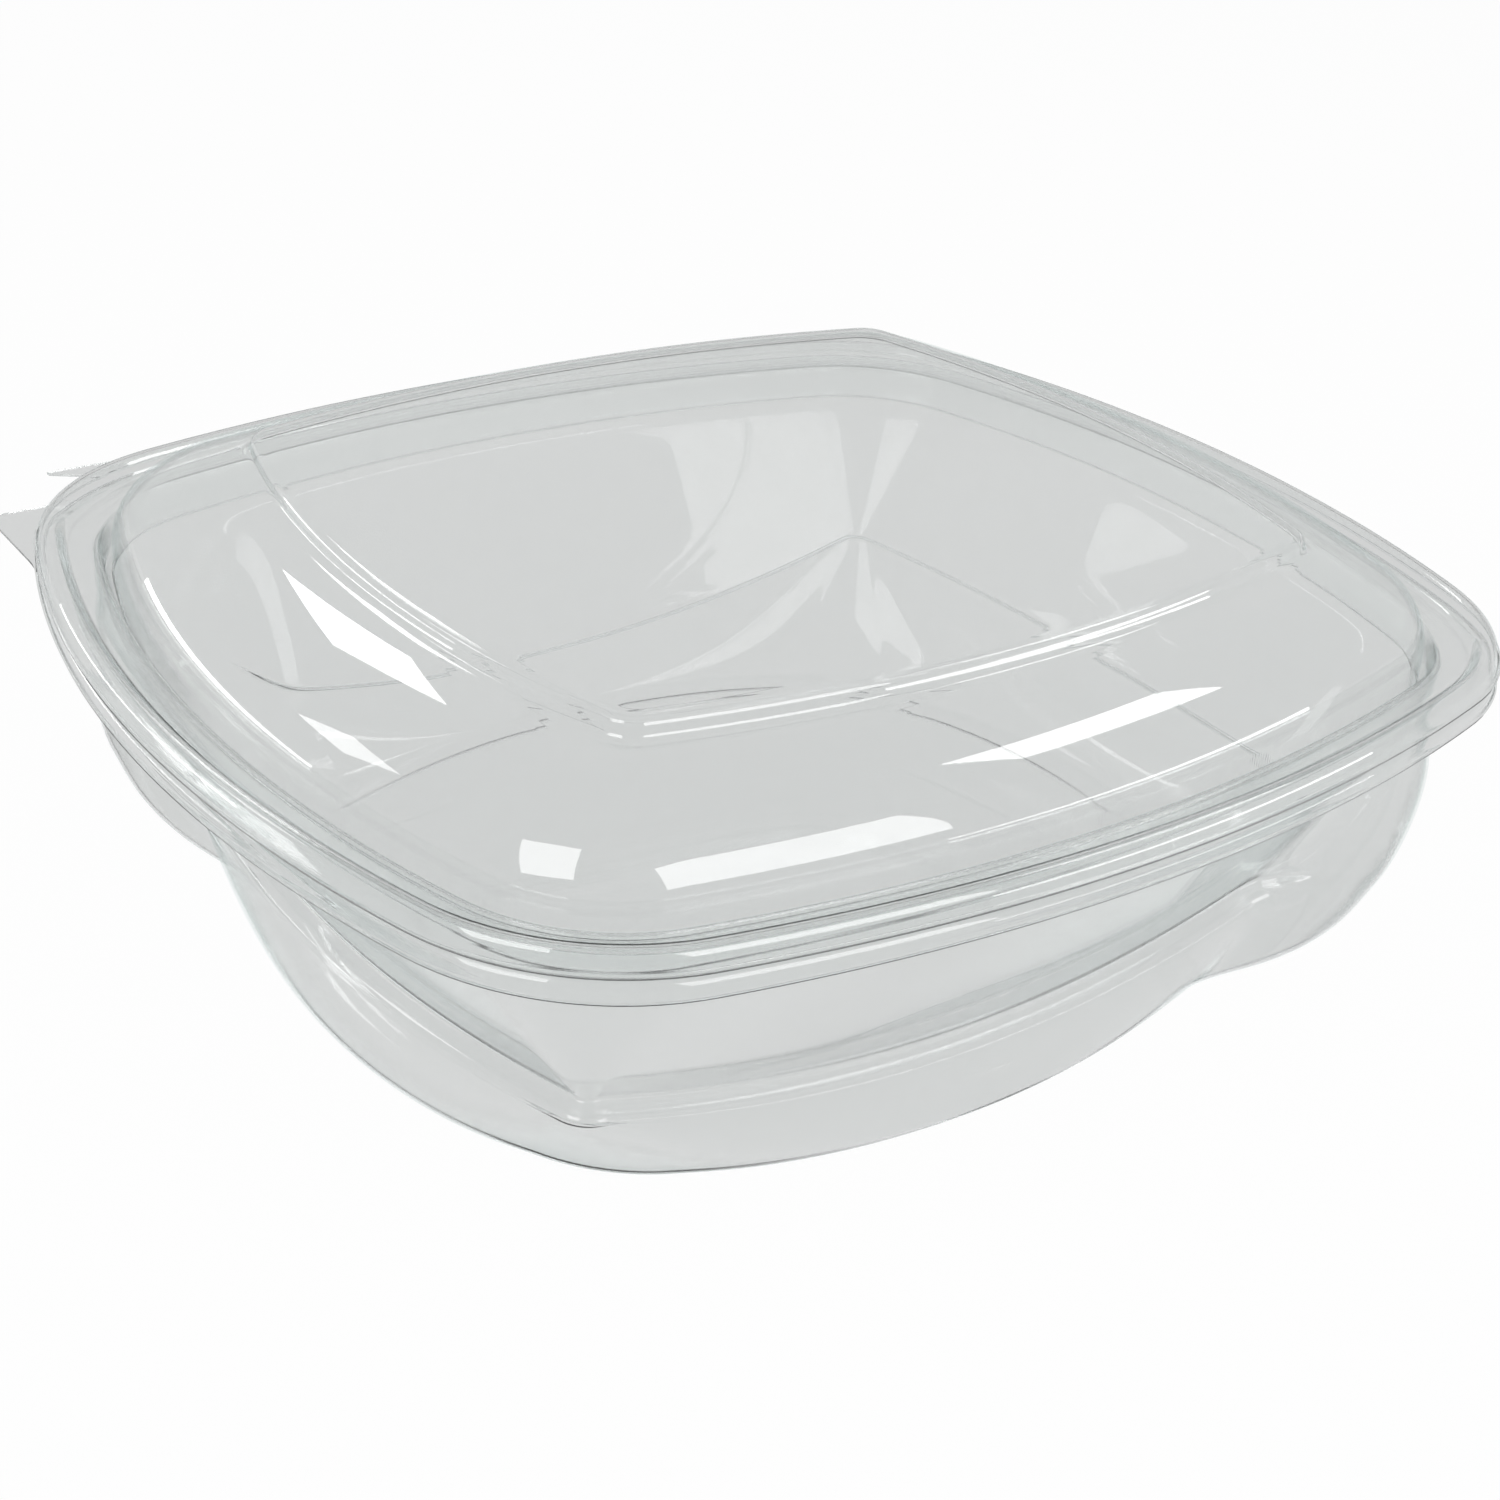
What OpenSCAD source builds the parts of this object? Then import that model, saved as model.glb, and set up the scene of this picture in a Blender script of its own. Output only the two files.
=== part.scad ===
/* [Rim] */
// Length over the bowed rim, left to right
body_len = 236; // [200:1:280]
// Width over the bowed rim, front to back
body_wid = 210; // [180:1:250]
// How far each end of the rim bows out
rim_bow_end = 18.7; // [8:0.1:24]
// How far the front and back of the rim bow out
rim_bow_side = 15; // [8:0.1:22]
// Radius of the rim's corners
rim_corner_r = 42; // [30:1:50]
// Thickness of the clear sheet
sheet_t = 0.5; // [0.35:0.05:0.8]
// Height of the skirt of the bowl's rim
base_skirt_h = 3.2; // [2.5:0.1:5]
// Height of the skirt of the lid's rim
lid_skirt_h = 3.4; // [2.8:0.1:5]
// Inset of the bowl's mouth from the rim's edge
mouth_inset = 9.5; // [8:0.1:13]
// Depth of the straight band in the bowl's mouth
mouth_band_h = 6.3; // [4:0.1:9]
// Gap between bowl and lid where they meet
fit_gap = 0.3; // [0.2:0.05:0.5]
// How far the turned out edge of each rim stands out
lip_w = 0.6; // [0.3:0.1:1.2]

/* [Bowl] */
// Height of the bowl up to the lower edge of its rim
bowl_h = 60; // [48:1:74]
// Depth of the wall panels below the rim at the corners
ledge_drop = 32.8; // [26:0.1:38]
// Extra depth of the end panels in the middle
ledge_sag_end = 2.2; // [0:0.1:8]
// Extra depth of the front and back panels in the middle
ledge_sag_side = 11.8; // [4:0.1:14]
// Inset of the wall panels' lower edge from the rim
ledge_inset = 18.7; // [16:0.1:21]
// How far the lower edge of the end panels bows out
ledge_bow_end = 10.2; // [5:0.1:13]
// How far the lower edge of the front and back panels bows out
ledge_bow_side = 2.5; // [1:0.1:6]
// Width of the ledge under the wall panels
ledge_w = 3.4; // [1.5:0.1:4.5]
// Corner radius of the ledge
ledge_corner_r = 3; // [2:0.5:8]
// Inset of the foot from the rim
foot_inset = 31; // [28:0.1:35]
// How far each end of the foot bows out
foot_bow_end = 19; // [12:0.1:22]
// How far the front and back of the foot bow out
foot_bow_side = 17.8; // [12:0.1:20]
// Corner radius of the foot
foot_corner_r = 36; // [20:1:44]
// Inset of the full corners from the rim at their widest
corner_inset = 7.3; // [5:0.1:9]
// Height of that widest place as a share of the bowl's height
corner_share = 0.69; // [0.55:0.01:0.75]
// Roundness of the lower body in the middle of each side
lower_round_mid = 1.8; // [1.1:0.05:2]
// Roundness of the lower body below the sharp corners
lower_round_corner = 1.1; // [1.1:0.05:2]
// Share of a side over which a wall panel runs out at a full corner
panel_fade = 0.14; // [0.1:0.01:0.5]
// Width of the ring that the bowl stands on
foot_ring_w = 6; // [4:0.5:9]
// Height of the floor inside that ring
floor_rise = 0.8; // [0.4:0.1:1.5]

/* [Lid] */
// Height of the flat top above the lower edge of the bowl's rim
dome_h = 22.3; // [18:0.1:28]
// Height of the step round the flat top
riser_h = 3.1; // [2:0.1:4.5]
// Inset of the flat top from the rim
top_inset = 28.8; // [25:0.1:34]
// How far each end of the flat top bows out
top_bow_end = 9.4; // [4:0.1:14]
// How far the front and back of the flat top bow out
top_bow_side = 8.8; // [4:0.1:13]
// Corner radius of the flat top
top_corner_r = 6.4; // [4:0.1:12]
// Depth of the plug that sits in the bowl's mouth
plug_depth = 2.8; // [1.5:0.1:4]
// Width of the channel between the plug and the dome
plug_w = 2.6; // [2.2:0.1:4]

/* [Pull tabs] */
// Reach of the bowl's tab past the rim's corner along the length
base_tab_x = 8.6; // [5:0.1:12]
// Reach of the bowl's tab past the rim's corner along the width
base_tab_y = 3.2; // [2:0.1:8]
// Reach of the lid's tab past the rim's corner along the width
lid_tab_y = 9.3; // [6:0.1:13]
// How far short of the rim's corner along the length the root of the lid's tab ends
lid_tab_back = 14; // [10:1:20]

/* [Hidden] */

N_SIDE = 20;
N_CORNER = 10;
PER = N_SIDE + N_CORNER;
N = 4 * PER;
rim_hx = body_len / 2 - rim_bow_end;
rim_hy = body_wid / 2 - rim_bow_side;
rim_z = bowl_h;
lid_z = rim_z + base_skirt_h + sheet_t + fit_gap;
top_z = rim_z + dome_h;
plug_inset = mouth_inset + sheet_t + fit_gap;
ledge_fall = 0.45 * ledge_w;
rim_h = rim_z + base_skirt_h;
lid_tab_dir = [-0.93, 0.367];

// Bends and leans that the forming leaves, too small to be sizes of their own
rim_round = 1.3;
mouth_round = 1;
plug_round = 0.7;
top_round = 0.9;
riser_lean = 0.7;
top_flat_in = 3;
floor_slope = 2;
corner_step = 0.6;
// Section of the lid's outer bead, each [inset from the rim, share of the skirt's height]
BEAD = [[5.2, 0], [3.9, 0.24], [2.8, 0.88], [1.8, 1], [0.9, 0.82], [0.5, 0.53], [0.2, 0.09]];
// Angles down the oval sections of the lower body and the dome
BODY_ANGLES = [78, 64, 50, 36, 22, 10];
DOME_ANGLES = [75, 60, 45, 30, 15];
// Heights down the wall panels, as shares of the way to the ledge
PANEL_STEPS = [0.97, 0.75, 0.5, 0.25];

// An outline is [half length, half width, end bow, side bow, corner radius]
rim_o = [rim_hx, rim_hy, rim_bow_end, rim_bow_side, rim_corner_r];
ledge_o = [rim_hx - ledge_inset, rim_hy - ledge_inset, ledge_bow_end, ledge_bow_side, ledge_corner_r];
foot_o = [rim_hx - foot_inset, rim_hy - foot_inset, foot_bow_end, foot_bow_side, foot_corner_r];
top_o = [rim_hx - top_inset, rim_hy - top_inset, top_bow_end, top_bow_side, top_corner_r];

function arc_radius(half, bow) = (half * half + bow * bow) / (2 * bow);
function mix(a, b, f) = a + (b - a) * f;
function smooth(f) = let (c = min(1, max(0, f))) c * c * (3 - 2 * c);
function unit(v) = v / norm(v);

// Bowed rectangle: four side arcs joined by corner arcs, with the outward normal of each point
function outline(o) =
    let (
        rx = arc_radius(o[1], o[2]),
        ry = arc_radius(o[0], o[3]),
        cx = o[0] + o[2] - rx,
        cy = o[1] + o[3] - ry,
        span = norm([cx, cy]),
        r1 = rx - o[4],
        r2 = ry - o[4],
        along = (r1 * r1 - r2 * r2 + span * span) / (2 * span),
        across = sqrt(r1 * r1 - along * along),
        ux = -cx / span,
        uy = cy / span,
        fx = cx + along * ux - across * uy,
        fy = along * uy + across * ux,
        ax = atan2(fy, fx - cx),
        ay = atan2(fx, fy - cy),
        side_c = [[cx, 0], [0, cy], [-cx, 0], [0, -cy]],
        side_r = [rx, ry, rx, ry],
        side_a = [ax, ay, ax, ay],
        corner_c = [[fx, fy], [-fx, fy], [-fx, -fy], [fx, -fy]]
    )
    [for (k = [0:3]) each concat(
        [for (j = [0:N_SIDE - 1])
            let (a = 90 * k + side_a[k] * (2 * j / N_SIDE - 1), n = [cos(a), sin(a)])
            [side_c[k] + side_r[k] * n, n]],
        [for (j = [0:N_CORNER - 1])
            let (
                a0 = 90 * k + side_a[k],
                a1 = 90 * (k + 1) - side_a[(k + 1) % 4],
                a = mix(a0, a1, j / N_CORNER),
                n = [cos(a), sin(a)]
            )
            [corner_c[k] + o[4] * n, n]]
    )];

// Place of a point along its side, from -1 at one corner to 1 at the next
function along_side(i) = let (j = i % PER) j < N_SIDE ? 2 * j / N_SIDE - 1 : 1;
function side_of(i) = floor(i / PER);
function is_even(k) = k % 2 == 0;
// 0 at the two full corners, left back and right front, and 1 away from them
function panel_share(i) =
    let (
        k = side_of(i),
        at_corner = i % PER >= N_SIDE,
        s = along_side(i),
        reach = is_even(k) ? (1 + s) / 2 : (1 - s) / 2
    )
    at_corner ? (is_even(k) ? 1 : 0) : smooth(reach / panel_fade);

RIM = outline(rim_o);
LEDGE = outline(ledge_o);
FOOT = outline(foot_o);
TOP = outline(top_o);

function ring(pts, inset, z) = [for (p = pts) [p[0][0] - inset * p[1][0], p[0][1] - inset * p[1][1], z]];
function blend_rings(a, b, f, z) = [for (i = [0:N - 1]) [mix(a[i][0], b[i][0], f), mix(a[i][1], b[i][1], f), z]];

// Full corners of the bowl: out to their widest height, then an oval down to the foot
mouth_z = rim_z - mouth_band_h;
wide_z = corner_share * rim_z;
MOUTH = ring(RIM, mouth_inset, mouth_z);
WIDE = ring(RIM, corner_inset, wide_z);
FOOT_RING = ring(FOOT, 0, 0);
function corner_point(i, z) =
    z > wide_z
    ? let (g = smooth((z - wide_z) / (mouth_z - wide_z)), inset = mix(corner_inset, mouth_inset, g))
        [RIM[i][0][0] - inset * RIM[i][1][0], RIM[i][0][1] - inset * RIM[i][1][1], z]
    : let (h = 1 - z / wide_z, w = sqrt(1 - h * h))
        [mix(FOOT_RING[i][0], WIDE[i][0], w), mix(FOOT_RING[i][1], WIDE[i][1], w), z];

// Wall panels of the bowl: straight panels down to a curved ledge, which ends at the full corners
function ledge_z(i) =
    let (s = along_side(i), sag = is_even(side_of(i)) ? ledge_sag_end : ledge_sag_side)
    rim_z - ledge_drop - sag * (1 - s * s);
function ledge_point(i, out, drop) =
    let (p = LEDGE[i][0], n = LEDGE[i][1])
    [p[0] + out * n[0], p[1] + out * n[1], ledge_z(i) - drop];
function bowl_row(z, panel_row) = [for (i = [0:N - 1])
    let (q = panel_share(i), c = corner_point(i, z), p = panel_row[i])
    [mix(c[0], p[0], q), mix(c[1], p[1], q), mix(c[2], p[2], q)]];
corner_ledge_z = rim_z - ledge_drop;
function panel_row(f) = bowl_row(
    mix(mouth_z, corner_ledge_z, f),
    [for (i = [0:N - 1]) let (a = MOUTH[i], b = ledge_point(i, 0, 0)) [for (k = [0:2]) mix(a[k], b[k], f)]]);
function ledge_row(out, drop) = bowl_row(
    corner_ledge_z - corner_step * (out + drop),
    [for (i = [0:N - 1]) ledge_point(i, out, drop)]);

// Lower body: an oval from the ledge down and in to the foot
lower_top = corner_ledge_z - corner_step * (ledge_w + ledge_fall);
lower_start = asin(1 - lower_top / wide_z);
function lower_row(a) = bowl_row(
    wide_z * (1 - sin(mix(lower_start, 90, a / 90))),
    [for (i = [0:N - 1])
        let (
            p = ledge_point(i, ledge_w, ledge_fall),
            b = FOOT_RING[i],
            m = mix(lower_round_mid, lower_round_corner, pow(along_side(i), 2)),
            w = pow(cos(a), 2 / m),
            h = 1 - pow(sin(a), 2 / m)
        )
        [mix(b[0], p[0], w), mix(b[1], p[1], w), mix(b[2], p[2], h)]]);

// Turned out edge of a rim, which widens into the pull tab at the left back corner
facing = 0.05;
out_of_reach = 1000;
function by_tab(p) = p[0] < -rim_hx / 2 && p[1] > rim_hy / 2;
function base_edge(z) = [for (i = [0:N - 1])
    let (
        p = RIM[i][0],
        n = RIM[i][1],
        cut_x = n[0] < -facing ? (-(rim_hx + base_tab_x) - p[0]) / n[0] : out_of_reach,
        cut_y = n[1] > facing ? (rim_hy + base_tab_y - p[1]) / n[1] : out_of_reach,
        w = by_tab(p) ? max(lip_w, min(cut_x, cut_y)) : lip_w
    )
    [p[0] + w * n[0], p[1] + w * n[1], z]];
function lid_edge(z) = [for (i = [0:N - 1])
    let (
        p = RIM[i][0],
        n = RIM[i][1],
        on_tab = by_tab(p) && p[0] > -(rim_hx - lid_tab_back),
        w = on_tab ? (rim_hy + lid_tab_y - p[1]) / lid_tab_dir[1] : 0,
        q = p + (w > lip_w ? w * lid_tab_dir : lip_w * n)
    )
    [q[0], q[1], z]];

// The up side of a surface at ring k, point i
function up_at(rings, k, i) =
    let (
        last = len(rings) - 1,
        a = rings[max(0, k - 1)][i],
        b = rings[min(last, k + 1)][i],
        c = rings[k][(i + N - 1) % N],
        d = rings[k][(i + 1) % N]
    )
    unit(cross(b - a, d - c));
function upper_side(rings, t) =
    [for (k = [0:len(rings) - 1]) [for (i = [0:N - 1]) rings[k][i] + t * up_at(rings, k, i)]];
function reversed(v) = [for (k = [len(v) - 1:-1:0]) v[k]];

// A thin sheet whose lower side is the list of rings, from the middle outwards
module sheet_shell(rings, t) {
    all_rings = concat(rings, reversed(upper_side(rings, t)));
    m = len(all_rings);
    pts = concat(
        [[0, 0, rings[0][0][2]]],
        [for (r = all_rings) each r],
        [[0, 0, rings[0][0][2] + t]]
    );
    far = len(pts) - 1;
    walls = [for (k = [0:m - 2]) for (i = [0:N - 1])
        let (a = 1 + k * N + i, b = 1 + k * N + (i + 1) % N)
        each [[a, a + N, b], [b, a + N, b + N]]];
    first = [for (i = [0:N - 1]) [0, 1 + i, 1 + (i + 1) % N]];
    last = [for (i = [0:N - 1]) [far, 1 + (m - 1) * N + (i + 1) % N, 1 + (m - 1) * N + i]];
    polyhedron(pts, concat(first, walls, last), convexity = 8);
}

module base() {
    floor_out = foot_ring_w + floor_slope * floor_rise;
    rings = concat(
        [ring(FOOT, floor_out, floor_rise)],
        [ring(FOOT, foot_ring_w, 0)],
        [FOOT_RING],
        [for (a = BODY_ANGLES) lower_row(a)],
        [ledge_row(ledge_w, ledge_fall)],
        [ledge_row(0.8 * ledge_w, 0.45 * ledge_fall)],
        [ledge_row(0.2 * ledge_w, 0.05 * ledge_fall)],
        [for (f = PANEL_STEPS) panel_row(f)],
        [MOUTH],
        [ring(RIM, mouth_inset, rim_h - mouth_round)],
        [ring(RIM, mouth_inset - mouth_round, rim_h)],
        [ring(RIM, rim_round, rim_h)],
        [ring(RIM, rim_round / 3, rim_h - rim_round / 2)],
        [ring(RIM, 0, rim_h - rim_round)],
        [ring(RIM, 0, rim_z + base_skirt_h / 10)],
        [base_edge(rim_z)]
    );
    color("lightcyan", 0.5) sheet_shell(rings, sheet_t);
}

module lid() {
    foot_in = plug_inset + plug_w;
    plug_z = rim_z - plug_depth;
    under_top = top_z - sheet_t;
    under_step = top_z - riser_h - sheet_t;
    dome_foot = ring(RIM, foot_in, lid_z);
    step_ring = ring(TOP, -riser_lean, under_step);
    rings = concat(
        [ring(TOP, top_flat_in, under_top)],
        [ring(TOP, top_round, under_top)],
        [ring(TOP, 0, under_top - top_round)],
        [ring(TOP, -riser_lean / 2, under_step + top_round)],
        [step_ring],
        [for (a = DOME_ANGLES) blend_rings(step_ring, dome_foot, cos(a), mix(lid_z, under_step, sin(a)))],
        [dome_foot],
        [ring(RIM, foot_in, plug_z + plug_round)],
        [ring(RIM, foot_in - plug_round, plug_z)],
        [ring(RIM, plug_inset + plug_round, plug_z)],
        [ring(RIM, plug_inset, plug_z + plug_round)],
        [ring(RIM, plug_inset, lid_z - mouth_round)],
        [ring(RIM, plug_inset - mouth_round, lid_z)],
        [for (b = BEAD) ring(RIM, b[0], lid_z + b[1] * lid_skirt_h)],
        [lid_edge(lid_z)]
    );
    color("azure", 0.5) sheet_shell(rings, sheet_t);
}

base();
lid();
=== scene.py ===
"""A clear food container: a bowl with recessed wall panels and a domed lid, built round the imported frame."""
import math
import bpy
import bmesh
from mathutils import Matrix, Vector

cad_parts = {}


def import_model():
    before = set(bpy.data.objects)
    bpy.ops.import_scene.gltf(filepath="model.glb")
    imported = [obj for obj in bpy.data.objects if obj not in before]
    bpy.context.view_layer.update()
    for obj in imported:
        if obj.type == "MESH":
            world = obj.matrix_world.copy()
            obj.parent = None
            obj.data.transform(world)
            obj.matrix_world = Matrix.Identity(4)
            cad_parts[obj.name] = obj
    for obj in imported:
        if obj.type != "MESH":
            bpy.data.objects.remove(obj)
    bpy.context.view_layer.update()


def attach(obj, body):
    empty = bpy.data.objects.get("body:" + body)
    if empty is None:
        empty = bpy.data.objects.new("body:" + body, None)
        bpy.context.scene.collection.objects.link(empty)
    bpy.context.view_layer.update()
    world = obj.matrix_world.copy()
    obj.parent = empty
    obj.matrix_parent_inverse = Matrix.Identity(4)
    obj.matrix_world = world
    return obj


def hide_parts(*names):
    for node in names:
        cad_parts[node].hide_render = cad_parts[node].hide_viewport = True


MM = 0.001

# ---------------------------------------------------------------- sizes, in millimetres

BODY_LEN = 236.0
BODY_WID = 210.0
RIM_BOW_END = 18.7
RIM_BOW_SIDE = 15.0
RIM_CORNER_R = 42.0
SHEET_T = 0.5            # the sheet that both pieces are formed from
BASE_SKIRT_H = 3.2
LID_SKIRT_H = 3.4
MOUTH_INSET = 9.5
MOUTH_BAND_H = 6.3
MOUTH_ROUND = 0.8
FIT_GAP = 0.3
LIP_W = 0.6              # the turned out edge below each rim

BOWL_H = 60.0
LEDGE_DROP = 32.8
LEDGE_SAG_END = 2.2
LEDGE_SAG_SIDE = 11.8
LEDGE_INSET = 18.7
LEDGE_BOW_END = 10.2
LEDGE_BOW_SIDE = 2.5
LEDGE_W = 3.4
LEDGE_FALL = 0.45 * LEDGE_W
LEDGE_LEAN = 0.6         # how much of the ledge's width and fall the full corners take up in height
LEDGE_EDGE_STEP = 1.1
LEDGE_CORNER_R = 3.0
FOOT_INSET = 31.0
FOOT_BOW_END = 19.0
FOOT_BOW_SIDE = 17.8
FOOT_CORNER_R = 36.0
FOOT_RING_W = 6.0
FOOT_FLAT_IN = 1.5
FLOOR_RISE = 0.8
FLOOR_FLAT_IN = 3.0
CORNER_INSET = 7.3
CORNER_SHARE = 0.69
LOWER_ROUND_MID = 1.8
LOWER_ROUND_CORNER = 1.1
PANEL_FADE = 0.14

DOME_H = 22.3
RISER_H = 3.1
RISER_LEAN = 0.7
TOP_INSET = 28.8
TOP_BOW_END = 9.4
TOP_BOW_SIDE = 8.8
TOP_CORNER_R = 6.4
TOP_FLAT_IN = 3.0
PLUG_DEPTH = 2.8
PLUG_W = 2.6
GROOVE_W = 1.0

BASE_TAB_X = 8.6
BASE_TAB_Y = 3.2
LID_TAB_Y = 9.3
LID_TAB_BACK = 14.0
LID_TAB_DIR = (-0.93, 0.367)
TAB_SHARE = 0.5          # the tabs lie beyond this share of the rim's half length and half width
TAB_FACING = 0.05        # the rim faces a tab's straight side by more than this where that side cuts it
FAR_OFF = 1000.0

# Bends, as the steps that each one is drawn in.
FOOT_BEND = ((0.5, 0.12), (-0.4, 0))                                     # in past the foot ring, up
LEDGE_BEND = ((0.7, 0.15), (0.26, -0.02), (0.12, -0.32), (0.25, -0.75))  # out of the inner line, down
RIM_BEND_IN = ((0, 1), (0.25, 0.3), (0.9, 0))                            # out from the mouth, down
RIM_BEND_OUT = ((5, 0), (1.3, 0), (0.4, 0.6), (0, 1.5))                  # inset, down
BASE_LIP_BEND = ((0, 0.65), (-0.08, 0.32), (-0.3, 0.1))                  # inset, up
TOP_BEND = ((0.9, 0), (0.35, 0.2), (0.1, 0.7))                           # inset, down
RISER_FOOT = (-0.2, 1.1)                                                 # inset, up
PLUG_BEND = ((0, 0.9), (0.2, 0.2), (0.8, 0))                             # off the channel's wall, up
PLUG_TOP_BEND = ((0, 1), (0.3, 0.3))                                     # out of the channel, down
BEAD = (                                                                 # inset, up
    (5.4, 0),
    (4.8, 0.2),
    (3.9, 1),
    (2.8, LID_SKIRT_H - 0.4),
    (1.8, LID_SKIRT_H),
    (0.9, LID_SKIRT_H - 0.5),
    (0.5, LID_SKIRT_H - 1.6),
)
LID_LIP_BEND = ((0.2, 0.65), (0.1, 0.32), (-0.15, 0.1))                  # inset, up

# Steps along the ovals, in degrees, and down the wall panels, as shares of their height.
LOWER_ANGLES = (86, 80, 72, 64, 56, 48, 40, 32, 24, 17)
DOME_ANGLES = (82, 75, 67, 59, 51, 43, 35, 27, 19, 11, 4)
PANEL_STEPS = (0.93, 0.84, 0.72, 0.6, 0.48, 0.36, 0.24, 0.12, 0.03)

N_SIDE = 40
N_CORNER = 20
PER = N_SIDE + N_CORNER
N = 4 * PER

RIM_HX = BODY_LEN / 2 - RIM_BOW_END
RIM_HY = BODY_WID / 2 - RIM_BOW_SIDE
RIM_Z = BOWL_H
LID_Z = RIM_Z + BASE_SKIRT_H + SHEET_T + FIT_GAP
TOP_Z = RIM_Z + DOME_H
PLUG_INSET = MOUTH_INSET + SHEET_T + FIT_GAP
MOUTH_Z = RIM_Z - MOUTH_BAND_H
WIDE_Z = CORNER_SHARE * RIM_Z
CORNER_LEDGE_Z = RIM_Z - LEDGE_DROP

SMOOTH_ANGLE = math.radians(50)
MIDDLE_REACH = 0.2 * MM

# ---------------------------------------------------------------- looks, in metres and degrees

BOWL_TINT = (0.64, 0.65, 0.647)
LID_TINT = (0.635, 0.645, 0.642)
BOWL_IOR = (1.42, 1.32)  # where it is first looked through, and behind that
LID_IOR = (1.5, 1.4)
DEEP_TINT = (0.985, 0.993, 0.991)
# The edge film below is painted shade. Where a sheet is seen nearly edge on, a slightly darker see-through
# film takes the place of the glass and its reflections, and so paints the darker lines along the edges.
PAINTED_EDGE_SHADE = (0.93, 0.95, 0.947)
EDGE_FROM = 0.63
EDGE_TO = 0.93
EDGE_SHADE_SHARE = 0.92
SHADOW_TINT = (0.95, 0.955, 0.953)
WAVE_SCALE = 24
WAVE_STRENGTH = 0.03
WAVE_DEPTH = 0.002
RIB_COUNT = 960
RIB_HEIGHT = 0.03
RIB_TOP_Z = 0.0648
RIB_FULL_Z = 0.0640

FLOOR_SIZE = 12
FLOOR_Z = -0.0003
FLOOR_TONE = 0.9
FLOOR_WHITE = 0.96
ROOM_COLOUR = (0.97, 0.98, 1)
ROOM_GLOW = 0.3
PALE_GLOW = 0.88
WHITE = (1, 1, 1)

LAMP_DISTANCE = 1.3
LAMP_AIM = (0, 0, 0.06)
LAMPS = (
    # name, azimuth, elevation, width, height, roll, glow
    ("front_right_box", 9, 26.5, 0.71, 0.62, 0, 4.5),
    ("front_left_box", -73, 38, 0.62, 0.76, 18, 4.5),
    ("right_box", 71, 48, 0.37, 0.26, -44, 6),
    ("back_box", 171, 38, 0.18, 0.25, -42, 6),
    ("left_back_box", -134, 32, 0.18, 0.22, 0, 4),
    ("low_right_box", 40, 0.5, 0.8, 0.09, 0, 6),
    ("low_left_box", -142, 0.5, 0.8, 0.09, 0, 6),
)

CAMERA_AZIMUTH = -37.85
CAMERA_ELEVATION = 25.11
CAMERA_ROLL = 4.48
CAMERA_DISTANCE = 0.4065
CAMERA_AIM = (0, 0, 0.0602)
CAMERA_LENS = 54.35
CAMERA_SENSOR = 36
CAMERA_SHIFT = (-0.00959, -0.10285)
CAMERA_NEAR = 0.01
CAMERA_FAR = 30


# ---------------------------------------------------------------- shape

def mix(a, b, f):
    """A number or a point part of the way from a to b."""
    if isinstance(a, (int, float)):
        return a + (b - a) * f
    return tuple(p + (q - p) * f for p, q in zip(a, b))


def smooth(f):
    """An eased step from 0 to 1."""
    c = min(1.0, max(0.0, f))
    return c * c * (3 - 2 * c)


def outline(half_x, half_y, bow_x, bow_y, corner_r):
    """Points and outward normals of a rectangle with bowed sides and round corners."""
    rx = (half_y ** 2 + bow_x ** 2) / (2 * bow_x)
    ry = (half_x ** 2 + bow_y ** 2) / (2 * bow_y)
    cx = half_x + bow_x - rx
    cy = half_y + bow_y - ry
    span = math.hypot(cx, cy)
    r1 = rx - corner_r
    r2 = ry - corner_r
    along = (r1 ** 2 - r2 ** 2 + span ** 2) / (2 * span)
    across = math.sqrt(r1 ** 2 - along ** 2)
    ux = -cx / span
    uy = cy / span
    fx = cx + along * ux - across * uy
    fy = along * uy + across * ux
    end_a = math.atan2(fy, fx - cx)
    side_a = math.atan2(fx, fy - cy)
    centres = ((cx, 0), (0, cy), (-cx, 0), (0, -cy))
    radii = (rx, ry, rx, ry)
    spans = (end_a, side_a, end_a, side_a)
    corners = ((fx, fy), (-fx, fy), (-fx, -fy), (fx, -fy))
    points = []
    for k in range(4):
        for j in range(N_SIDE):
            a = math.pi / 2 * k + spans[k] * (2 * j / N_SIDE - 1)
            n = (math.cos(a), math.sin(a))
            c = centres[k]
            points.append(((c[0] + radii[k] * n[0], c[1] + radii[k] * n[1]), n))
        for j in range(N_CORNER):
            a0 = math.pi / 2 * k + spans[k]
            a1 = math.pi / 2 * (k + 1) - spans[(k + 1) % 4]
            a = mix(a0, a1, j / N_CORNER)
            n = (math.cos(a), math.sin(a))
            c = corners[k]
            points.append(((c[0] + corner_r * n[0], c[1] + corner_r * n[1]), n))
    return points


def inset_outline(inset, bow_end, bow_side, corner_r):
    """An outline whose corners lie in from those of the rim."""
    return outline(RIM_HX - inset, RIM_HY - inset, bow_end, bow_side, corner_r)


RIM = outline(RIM_HX, RIM_HY, RIM_BOW_END, RIM_BOW_SIDE, RIM_CORNER_R)
LEDGE = inset_outline(LEDGE_INSET, LEDGE_BOW_END, LEDGE_BOW_SIDE, LEDGE_CORNER_R)
FOOT = inset_outline(FOOT_INSET, FOOT_BOW_END, FOOT_BOW_SIDE, FOOT_CORNER_R)
TOP = inset_outline(TOP_INSET, TOP_BOW_END, TOP_BOW_SIDE, TOP_CORNER_R)


def ring(points, inset, z):
    return [(p[0] - inset * n[0], p[1] - inset * n[1], z) for p, n in points]


def blend_rings(a, b, f, z):
    return [(mix(p[0], q[0], f), mix(p[1], q[1], f), z) for p, q in zip(a, b)]


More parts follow.
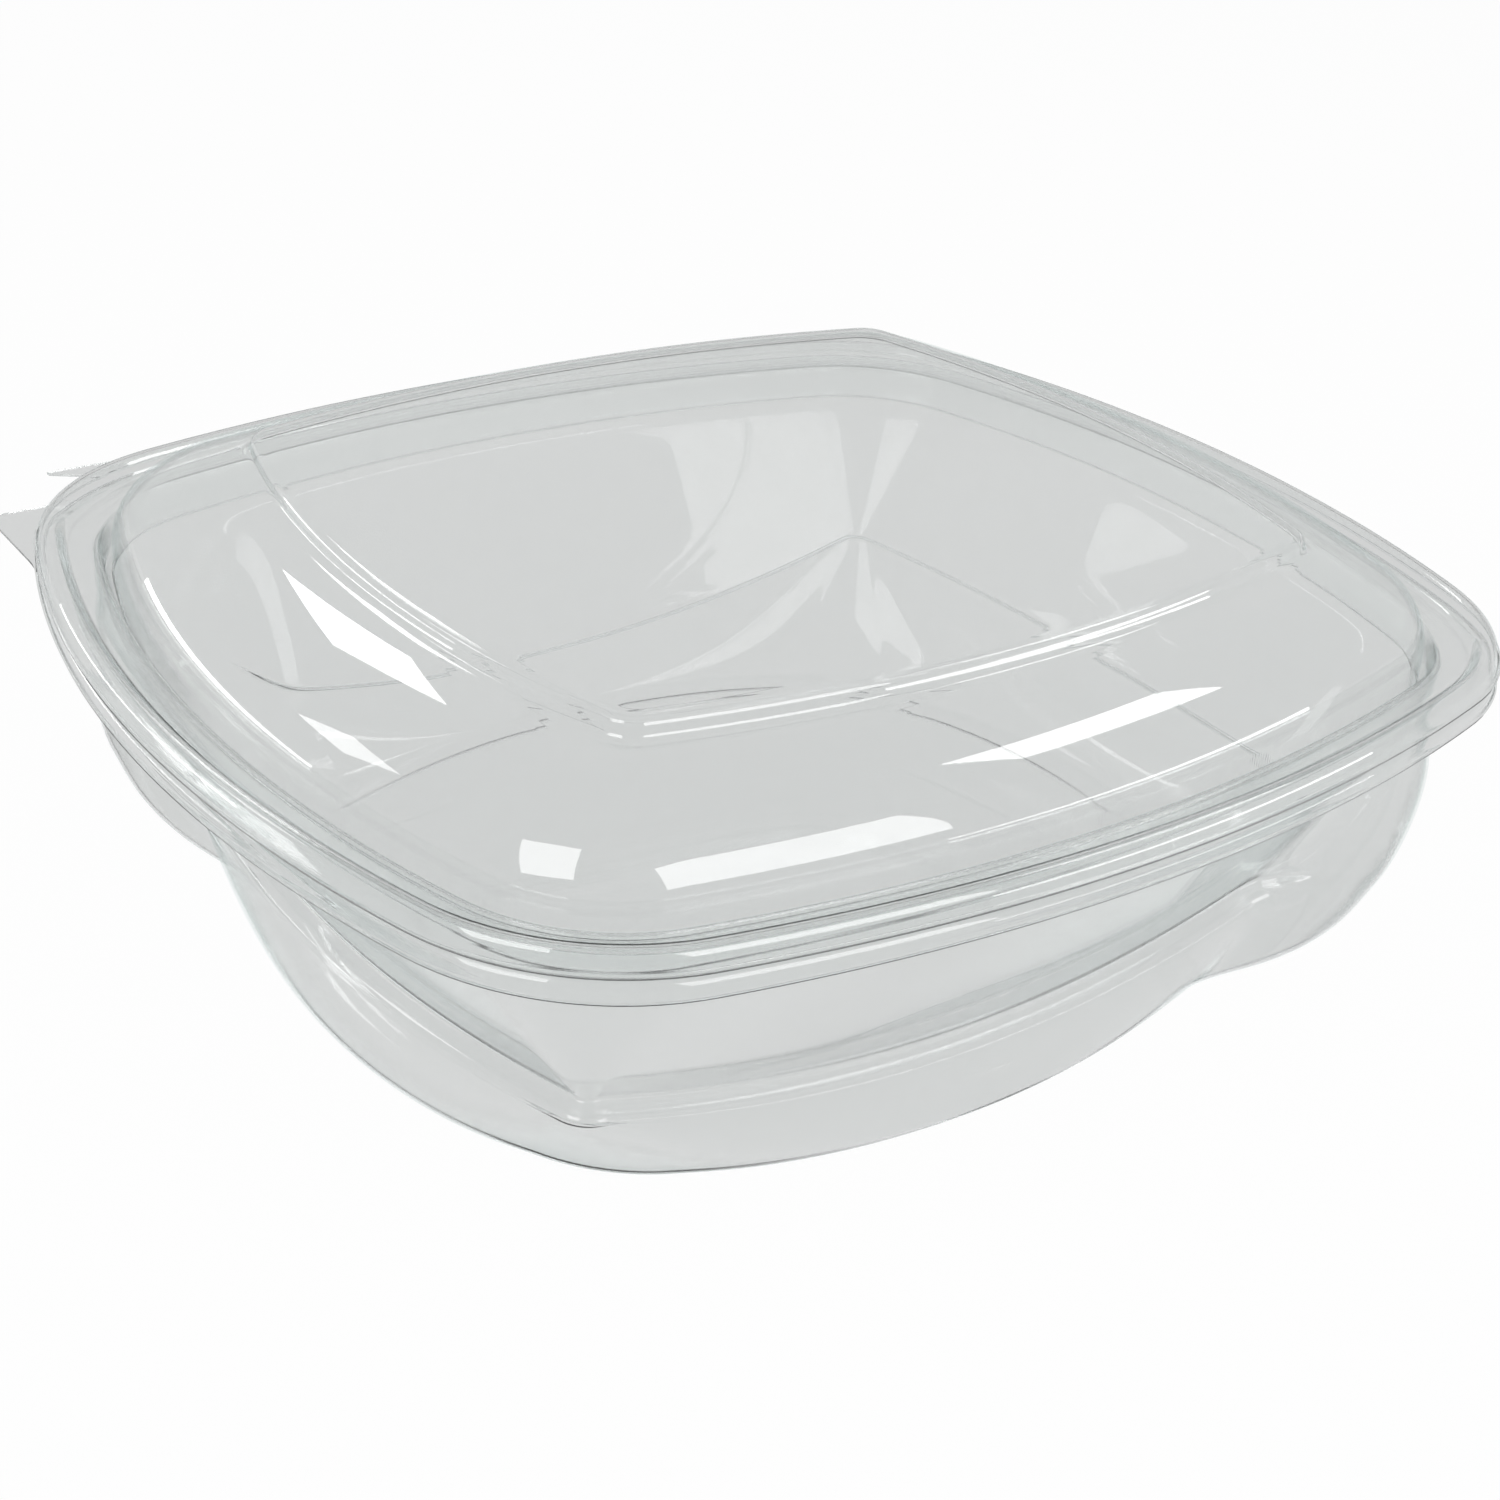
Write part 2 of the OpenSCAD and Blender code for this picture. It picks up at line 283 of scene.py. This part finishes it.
def stepped(a, b, reach):
    """Ring a moved a fixed distance towards ring b."""
    points = []
    for p, q in zip(a, b):
        d = math.dist(p, q)
        points.append(mix(p, q, min(0.8, reach / d)) if d > 0 else p)
    return points


def along_side(i):
    """From -1 to 1 along a side, and 1 round the corner after it."""
    j = i % PER
    return 2 * j / N_SIDE - 1 if j < N_SIDE else 1.0


def is_end(i):
    return (i // PER) % 2 == 0


def panel_share(i):
    """0 at the two full corners, left back and right front, and 1 away from them."""
    if i % PER >= N_SIDE:
        return 1.0 if is_end(i) else 0.0
    s = along_side(i)
    reach = (1 + s) / 2 if is_end(i) else (1 - s) / 2
    return smooth(reach / PANEL_FADE)


SHARE = [panel_share(i) for i in range(N)]
MOUTH = ring(RIM, MOUTH_INSET, MOUTH_Z)
WIDE = ring(RIM, CORNER_INSET, WIDE_Z)
FOOT_RING = ring(FOOT, 0, 0)


def corner_point(i, z):
    """A point of the full corners: out to their widest height, then an oval down to the foot."""
    if z > WIDE_Z:
        inset = mix(CORNER_INSET, MOUTH_INSET, smooth((z - WIDE_Z) / (MOUTH_Z - WIDE_Z)))
        p, n = RIM[i]
        return (p[0] - inset * n[0], p[1] - inset * n[1], z)
    h = 1 - z / WIDE_Z
    w = math.sqrt(max(0.0, 1 - h * h))
    return (mix(FOOT_RING[i][0], WIDE[i][0], w), mix(FOOT_RING[i][1], WIDE[i][1], w), z)


def ledge_z(i):
    s = along_side(i)
    sag = LEDGE_SAG_END if is_end(i) else LEDGE_SAG_SIDE
    return CORNER_LEDGE_Z - sag * (1 - s * s)


def ledge_point(i, out, drop):
    p, n = LEDGE[i]
    return (p[0] + out * n[0], p[1] + out * n[1], ledge_z(i) - drop)


def bowl_row(z, panel_points):
    """A ring of the bowl's wall: panels blended into the full corners."""
    return [mix(corner_point(i, z), panel_points[i], SHARE[i]) for i in range(N)]


def panel_row(f):
    points = [mix(MOUTH[i], ledge_point(i, 0, 0), f) for i in range(N)]
    return bowl_row(mix(MOUTH_Z, CORNER_LEDGE_Z, f), points)


def ledge_row(out, drop):
    points = [ledge_point(i, out, drop) for i in range(N)]
    return bowl_row(CORNER_LEDGE_Z - LEDGE_LEAN * (out + drop), points)


LOWER_TOP = CORNER_LEDGE_Z - LEDGE_LEAN * (LEDGE_W + LEDGE_FALL)
LOWER_START = math.degrees(math.asin(1 - LOWER_TOP / WIDE_Z))


def lower_row(angle):
    """A ring of the lower body: an oval from the ledge down and in to the foot."""
    a = math.radians(angle)
    points = []
    for i in range(N):
        p = ledge_point(i, LEDGE_W, LEDGE_FALL)
        b = FOOT_RING[i]
        m = mix(LOWER_ROUND_MID, LOWER_ROUND_CORNER, along_side(i) ** 2)
        w = math.cos(a) ** (2 / m)
        h = 1 - math.sin(a) ** (2 / m)
        points.append((mix(b[0], p[0], w), mix(b[1], p[1], w), mix(b[2], p[2], h)))
    z = WIDE_Z * (1 - math.sin(math.radians(mix(LOWER_START, 90, angle / 90))))
    return bowl_row(z, points)


def by_tab(p):
    return p[0] < -TAB_SHARE * RIM_HX and p[1] > TAB_SHARE * RIM_HY


def base_edge(z):
    """The turned out edge of the bowl's rim, with its pull tab at the left back corner."""
    points = []
    for p, n in RIM:
        cut_x = (-(RIM_HX + BASE_TAB_X) - p[0]) / n[0] if n[0] < -TAB_FACING else FAR_OFF
        cut_y = (RIM_HY + BASE_TAB_Y - p[1]) / n[1] if n[1] > TAB_FACING else FAR_OFF
        w = max(LIP_W, min(cut_x, cut_y)) if by_tab(p) else LIP_W
        points.append((p[0] + w * n[0], p[1] + w * n[1], z))
    return points


def lid_edge(z):
    """The turned out edge of the lid's rim, with its narrow pull tab."""
    points = []
    for p, n in RIM:
        on_tab = by_tab(p) and p[0] > -(RIM_HX - LID_TAB_BACK)
        w = (RIM_HY + LID_TAB_Y - p[1]) / LID_TAB_DIR[1] if on_tab else 0
        d = (w * LID_TAB_DIR[0], w * LID_TAB_DIR[1]) if w > LIP_W else (LIP_W * n[0], LIP_W * n[1])
        points.append((p[0] + d[0], p[1] + d[1], z))
    return points


def base_rings():
    """The bowl's outer face, from the middle of the floor out to the edge of the rim."""
    floor_out = FOOT_RING_W + 2 * FLOOR_RISE
    rim_top = RIM_Z + BASE_SKIRT_H
    edge = ledge_row(LEDGE_W, LEDGE_FALL)
    rings = [ring(FOOT, floor_out + FLOOR_FLAT_IN, FLOOR_RISE), ring(FOOT, floor_out, FLOOR_RISE)]
    rings += [ring(FOOT, FOOT_RING_W + more, up) for more, up in FOOT_BEND]
    rings.append(ring(FOOT, FOOT_FLAT_IN, 0))
    rings += [lower_row(a) for a in LOWER_ANGLES]
    rings.append(stepped(edge, rings[-1], LEDGE_EDGE_STEP))
    rings.append(edge)
    rings.append(ledge_row(0.5 * LEDGE_W, 0.25 * LEDGE_FALL))
    rings += [ledge_row(out, drop) for out, drop in LEDGE_BEND]
    rings += [panel_row(f) for f in PANEL_STEPS]
    rings.append(ring(RIM, MOUTH_INSET, MOUTH_Z + MOUTH_ROUND))
    rings.append(ring(RIM, MOUTH_INSET, RIM_Z))
    rings += [ring(RIM, MOUTH_INSET - out, rim_top - down) for out, down in RIM_BEND_IN]
    rings += [ring(RIM, inset, rim_top - down) for inset, down in RIM_BEND_OUT]
    rings += [ring(RIM, inset, RIM_Z + up) for inset, up in BASE_LIP_BEND]
    rings.append(base_edge(RIM_Z))
    return rings


def lid_rings():
    """The lid's under face, from the middle of the flat top out to the edge of the rim."""
    foot_in = PLUG_INSET + PLUG_W
    plug_z = RIM_Z - PLUG_DEPTH
    under_top = TOP_Z - SHEET_T
    under_step = TOP_Z - RISER_H - SHEET_T
    dome_foot = ring(RIM, foot_in, LID_Z)
    step = ring(TOP, -RISER_LEAN, under_step)
    rings = [ring(TOP, TOP_FLAT_IN, under_top)]
    rings += [ring(TOP, inset, under_top - down) for inset, down in TOP_BEND]
    rings.append(ring(TOP, RISER_FOOT[0], under_step + RISER_FOOT[1]))
    rings.append(step)
    for a in DOME_ANGLES:
        f = math.cos(math.radians(a))
        rings.append(blend_rings(step, dome_foot, f, mix(LID_Z, under_step, math.sin(math.radians(a)))))
    rings.append(dome_foot)
    rings += [ring(RIM, foot_in - side, plug_z + up) for side, up in PLUG_BEND]
    rings += [ring(RIM, PLUG_INSET + side, plug_z + up) for side, up in reversed(PLUG_BEND)]
    rings += [ring(RIM, PLUG_INSET - out, LID_Z - down) for out, down in PLUG_TOP_BEND]
    rings.append(ring(RIM, PLUG_INSET - GROOVE_W, LID_Z))
    rings += [ring(RIM, inset, LID_Z + up) for inset, up in BEAD]
    rings += [ring(RIM, inset, LID_Z + up) for inset, up in LID_LIP_BEND]
    rings.append(lid_edge(LID_Z))
    return rings


# ---------------------------------------------------------------- modelling

def only_none():
    """Deselects everything."""
    for other in bpy.context.selected_objects:
        other.select_set(False)


def only(obj):
    """Makes obj the one selected, active object."""
    only_none()
    obj.select_set(True)
    bpy.context.view_layer.objects.active = obj


def key(co):
    """A point as something to look it up by."""
    return (round(co[0], 7), round(co[1], 7), round(co[2], 7))


def draw_sheet(name, rings):
    """Draws a formed sheet: a ring of edges, extruded outwards ring by ring."""
    only_none()
    bpy.ops.mesh.primitive_circle_add(vertices=N, radius=0.01, fill_type="NOTHING")
    obj = bpy.context.object
    obj.name = name
    obj.data.name = name
    for v, co in zip(obj.data.vertices, rings[0]):
        v.co = Vector(co) * MM
    bpy.ops.object.mode_set(mode="EDIT")
    bpy.ops.mesh.select_mode(type="EDGE")
    bpy.ops.mesh.select_all(action="SELECT")
    place = {key(Vector(co) * MM): i for i, co in enumerate(rings[0])}
    for points in rings[1:]:
        bpy.ops.mesh.extrude_edges_move()
        bm = bmesh.from_edit_mesh(obj.data)
        where = [(v, place[key(v.co)]) for v in bm.verts if v.select]
        place = {}
        for v, i in where:
            v.co = Vector(points[i]) * MM
            place[key(v.co)] = i
        bmesh.update_edit_mesh(obj.data)
    bpy.ops.object.mode_set(mode="OBJECT")
    return obj


def finish_sheet(obj, middle_z, thickness):
    """Smooths the drawn sheet, closes its flat middle, and gives it its thickness."""
    only(obj)
    mod = obj.modifiers.new("soften", "SUBSURF")
    mod.levels = 1
    mod.render_levels = 1
    bpy.ops.object.modifier_apply(modifier=mod.name)
    bpy.ops.object.mode_set(mode="EDIT")
    bpy.ops.mesh.select_mode(type="EDGE")
    bpy.ops.mesh.select_all(action="DESELECT")
    bm = bmesh.from_edit_mesh(obj.data)
    for e in bm.edges:
        if e.is_boundary and abs(e.verts[0].co.z - middle_z * MM) < MIDDLE_REACH:
            e.select = True
    bmesh.update_edit_mesh(obj.data)
    bpy.ops.mesh.edge_face_add()
    bpy.ops.mesh.select_all(action="SELECT")
    bpy.ops.mesh.normals_make_consistent(inside=False)
    bpy.ops.object.mode_set(mode="OBJECT")
    middle = max(obj.data.polygons, key=lambda face: face.area)
    if middle.normal.z < 0:
        bpy.ops.object.mode_set(mode="EDIT")
        bpy.ops.mesh.select_all(action="SELECT")
        bpy.ops.mesh.flip_normals()
        bpy.ops.object.mode_set(mode="OBJECT")
    mod = obj.modifiers.new("wall", "SOLIDIFY")
    mod.thickness = thickness * MM
    mod.offset = 1
    mod.use_even_offset = True
    bpy.ops.object.modifier_apply(modifier=mod.name)
    bpy.ops.object.shade_smooth_by_angle(angle=SMOOTH_ANGLE)
    return obj


# ---------------------------------------------------------------- materials

def work_out(nt, operation, *values):
    """A math node's result. Each value is a number or an output to read."""
    node = nt.nodes.new("ShaderNodeMath")
    node.operation = operation
    for socket, value in zip(node.inputs, values):
        if isinstance(value, (int, float)):
            socket.default_value = value
        else:
            nt.links.new(value, socket)
    return node.outputs[0]


def blend_shaders(nt, share, first, second):
    """The first shader where share is 0, and the second where it is 1."""
    node = nt.nodes.new("ShaderNodeMixShader")
    nt.links.new(share, node.inputs["Fac"])
    nt.links.new(first, node.inputs[1])
    nt.links.new(second, node.inputs[2])
    return node.outputs["Shader"]


def see_through(nt, tint):
    """Plain see-through film."""
    node = nt.nodes.new("ShaderNodeBsdfTransparent")
    node.inputs["Color"].default_value = (*tint, 1)
    return node.outputs["BSDF"]


def looked_at(nt):
    """1 for what the camera sees, straight, by reflection or through the plastic, and 0 for plain light."""
    path = nt.nodes.new("ShaderNodeLightPath")
    seen = work_out(nt, "MAXIMUM", path.outputs["Is Camera Ray"], path.outputs["Is Glossy Ray"])
    return work_out(nt, "MAXIMUM", seen, path.outputs["Is Transmission Ray"])


def formed_surface():
    """The height of a formed sheet's surface: soft waves, and fine ribs across the rim's channel."""
    group = bpy.data.node_groups.new("formed surface", "ShaderNodeTree")
    group.interface.new_socket("Position", in_out="INPUT", socket_type="NodeSocketVector")
    group.interface.new_socket("Wave Scale", in_out="INPUT", socket_type="NodeSocketFloat")
    group.interface.new_socket("Rib Height", in_out="INPUT", socket_type="NodeSocketFloat")
    group.interface.new_socket("Height", in_out="OUTPUT", socket_type="NodeSocketFloat")
    given = group.nodes.new("NodeGroupInput")
    result = group.nodes.new("NodeGroupOutput")
    wave = group.nodes.new("ShaderNodeTexNoise")
    wave.inputs["Detail"].default_value = 0
    group.links.new(given.outputs["Position"], wave.inputs["Vector"])
    group.links.new(given.outputs["Wave Scale"], wave.inputs["Scale"])
    apart = group.nodes.new("ShaderNodeSeparateXYZ")
    group.links.new(given.outputs["Position"], apart.inputs[0])
    round_rim = work_out(group, "ARCTAN2", apart.outputs["Y"], apart.outputs["X"])
    rib = work_out(group, "SINE", work_out(group, "MULTIPLY", round_rim, RIB_COUNT))
    low = group.nodes.new("ShaderNodeMapRange")
    low.inputs["From Min"].default_value = RIB_TOP_Z
    low.inputs["From Max"].default_value = RIB_FULL_Z
    group.links.new(given.outputs["Rib Height"], low.inputs["To Max"])
    group.links.new(apart.outputs["Z"], low.inputs["Value"])
    height = work_out(group, "MULTIPLY_ADD", rib, low.outputs["Result"], wave.outputs["Fac"])
    group.links.new(height, result.inputs["Height"])
    return group


def surface_normal(nt, surface, rib_height):
    """The formed surface's waves and ribs, as a normal."""
    coord = nt.nodes.new("ShaderNodeTexCoord")
    formed = nt.nodes.new("ShaderNodeGroup")
    formed.node_tree = surface
    formed.inputs["Wave Scale"].default_value = WAVE_SCALE
    formed.inputs["Rib Height"].default_value = rib_height
    nt.links.new(coord.outputs["Object"], formed.inputs["Position"])
    bump = nt.nodes.new("ShaderNodeBump")
    bump.inputs["Strength"].default_value = WAVE_STRENGTH
    bump.inputs["Distance"].default_value = WAVE_DEPTH
    nt.links.new(formed.outputs["Height"], bump.inputs["Height"])
    return bump.outputs["Normal"]


def glass(nt, tint, ior, normal):
    """Sharp, glass-like plastic."""
    shader = nt.nodes.new("ShaderNodeBsdfPrincipled")
    shader.inputs["Base Color"].default_value = (*tint, 1)
    shader.inputs["Roughness"].default_value = 0
    shader.inputs["IOR"].default_value = ior
    shader.inputs["Transmission Weight"].default_value = 1
    nt.links.new(normal, shader.inputs["Normal"])
    return shader.outputs["BSDF"]


def turned_away(nt):
    """Rises where the sheet is seen nearly edge on: the mask of the painted edge shade."""
    turn = nt.nodes.new("ShaderNodeLayerWeight")
    turn.inputs["Blend"].default_value = 0.5
    rise = nt.nodes.new("ShaderNodeMapRange")
    rise.interpolation_type = "SMOOTHSTEP"
    rise.inputs["From Min"].default_value = EDGE_FROM
    rise.inputs["From Max"].default_value = EDGE_TO
    rise.inputs["To Max"].default_value = EDGE_SHADE_SHARE
    nt.links.new(turn.outputs["Facing"], rise.inputs["Value"])
    return rise.outputs["Result"]


def clear_sheet(name, surface, tint, ior, rib_height):
    """Clear formed plastic: grey where it is first looked through, and nearly colourless behind that, with
    painted shade, a darker see-through film, where it is seen nearly edge on.
    """
    mat = bpy.data.materials.new(name)
    mat.use_nodes = True
    nt = mat.node_tree
    nt.nodes.clear()
    out = nt.nodes.new("ShaderNodeOutputMaterial")
    path = nt.nodes.new("ShaderNodeLightPath")
    normal = surface_normal(nt, surface, rib_height)
    front = glass(nt, tint, ior[0], normal)
    deep = glass(nt, DEEP_TINT, ior[1], normal)
    behind = work_out(nt, "GREATER_THAN", path.outputs["Transmission Depth"], 1.5)
    sheet = blend_shaders(nt, behind, front, deep)
    # Painted shade: where the sheet is seen edge on, a darker see-through film takes the place of the glass.
    body = blend_shaders(nt, turned_away(nt), sheet, see_through(nt, PAINTED_EDGE_SHADE))
    plain_light = work_out(nt, "MAXIMUM", path.outputs["Is Shadow Ray"], path.outputs["Is Diffuse Ray"])
    both = blend_shaders(nt, plain_light, body, see_through(nt, SHADOW_TINT))
    nt.links.new(both, out.inputs["Surface"])
    return mat


def floor_paint():
    """A plain pale floor: lit by the lamps, and lifted to white for what the camera sees of it."""
    mat = bpy.data.materials.new("studio floor")
    mat.use_nodes = True
    nt = mat.node_tree
    nt.nodes.clear()
    out = nt.nodes.new("ShaderNodeOutputMaterial")
    paint = nt.nodes.new("ShaderNodeBsdfDiffuse")
    paint.inputs["Color"].default_value = (FLOOR_TONE, FLOOR_TONE, FLOOR_TONE, 1)
    glow = nt.nodes.new("ShaderNodeEmission")
    glow.inputs["Color"].default_value = (*WHITE, 1)
    glow.inputs["Strength"].default_value = 1
    share = work_out(nt, "MULTIPLY", looked_at(nt), FLOOR_WHITE)
    both = blend_shaders(nt, share, paint.outputs["BSDF"], glow.outputs["Emission"])
    nt.links.new(both, out.inputs["Surface"])
    return mat


# ---------------------------------------------------------------- studio

def add_floor():
    only_none()
    bpy.ops.mesh.primitive_plane_add(size=FLOOR_SIZE, location=(0, 0, FLOOR_Z))
    floor = bpy.context.object
    floor.name = "floor"
    floor.data.materials.append(floor_paint())


def background(nt, colour, strength):
    node = nt.nodes.new("ShaderNodeBackground")
    node.inputs["Color"].default_value = (*colour, 1)
    node.inputs["Strength"].default_value = strength
    return node.outputs["Background"]


def add_world():
    """A dim room for plain light, which glass and gloss see as pale."""
    world = bpy.data.worlds.new("studio")
    bpy.context.scene.world = world
    world.use_nodes = True
    nt = world.node_tree
    nt.nodes.clear()
    out = nt.nodes.new("ShaderNodeOutputWorld")
    room = background(nt, ROOM_COLOUR, ROOM_GLOW)
    pale = background(nt, WHITE, PALE_GLOW)
    nt.links.new(blend_shaders(nt, looked_at(nt), room, pale), out.inputs["Surface"])


def toward(azimuth, elevation):
    """A direction: azimuth from the front towards the right, elevation above the floor, in degrees."""
    a = math.radians(azimuth)
    e = math.radians(elevation)
    return Vector((math.sin(a) * math.cos(e), -math.cos(a) * math.cos(e), math.sin(e)))


def placed(aim, azimuth, elevation, distance, roll):
    """The place and turn of a lamp or camera that looks at aim from a given side."""
    away = toward(azimuth, elevation)
    right = Vector((0, 0, 1)).cross(away).normalized()
    up = away.cross(right)
    r = math.radians(roll)
    turn = Matrix((
        right * math.cos(r) + up * math.sin(r),
        up * math.cos(r) - right * math.sin(r),
        away,
    )).transposed().to_4x4()
    return Matrix.Translation(Vector(aim) + away * distance) @ turn


def add_softbox(name, azimuth, elevation, width, height, roll, glow):
    """A soft lamp of a given size, aimed at the middle of the container."""
    data = bpy.data.lights.new(name, "AREA")
    data.shape = "RECTANGLE"
    data.size = width
    data.size_y = height
    data.energy = glow * math.pi * width * height
    lamp = bpy.data.objects.new(name, data)
    bpy.context.scene.collection.objects.link(lamp)
    lamp.matrix_world = placed(LAMP_AIM, azimuth, elevation, LAMP_DISTANCE, roll)


def add_camera():
    """The photograph's view: aimed at the middle of the rim's lower edge, with a slight roll."""
    data = bpy.data.cameras.new("camera")
    data.lens = CAMERA_LENS
    data.sensor_width = CAMERA_SENSOR
    data.shift_x = CAMERA_SHIFT[0]
    data.shift_y = CAMERA_SHIFT[1]
    data.clip_start = CAMERA_NEAR
    data.clip_end = CAMERA_FAR
    camera = bpy.data.objects.new("camera", data)
    bpy.context.scene.collection.objects.link(camera)
    camera.matrix_world = placed(CAMERA_AIM, CAMERA_AZIMUTH, CAMERA_ELEVATION, CAMERA_DISTANCE, CAMERA_ROLL)
    bpy.context.scene.camera = camera


# ---------------------------------------------------------------- pieces

def build_bowl(surface):
    bowl = finish_sheet(draw_sheet("bowl_sheet", base_rings()), FLOOR_RISE, SHEET_T)
    bowl.data.materials.append(clear_sheet("clear bowl plastic", surface, BOWL_TINT, BOWL_IOR, 0))
    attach(bowl, "base")
    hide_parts("base")


def build_lid(surface):
    lid = finish_sheet(draw_sheet("lid_sheet", lid_rings()), TOP_Z - SHEET_T, SHEET_T)
    lid.data.materials.append(clear_sheet("clear lid plastic", surface, LID_TINT, LID_IOR, RIB_HEIGHT))
    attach(lid, "lid")
    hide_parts("lid")


def set_light_paths():
    """Enough bounces to see through both pieces, near side and far side."""
    scene = bpy.context.scene
    scene.view_settings.view_transform = "Standard"
    scene.cycles.max_bounces = 16
    scene.cycles.transmission_bounces = 16
    scene.cycles.glossy_bounces = 4
    scene.cycles.transparent_max_bounces = 16


def main():
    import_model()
    add_camera()
    add_floor()
    add_world()
    for lamp in LAMPS:
        add_softbox(*lamp)
    surface = formed_surface()
    build_bowl(surface)
    build_lid(surface)
    set_light_paths()


main()
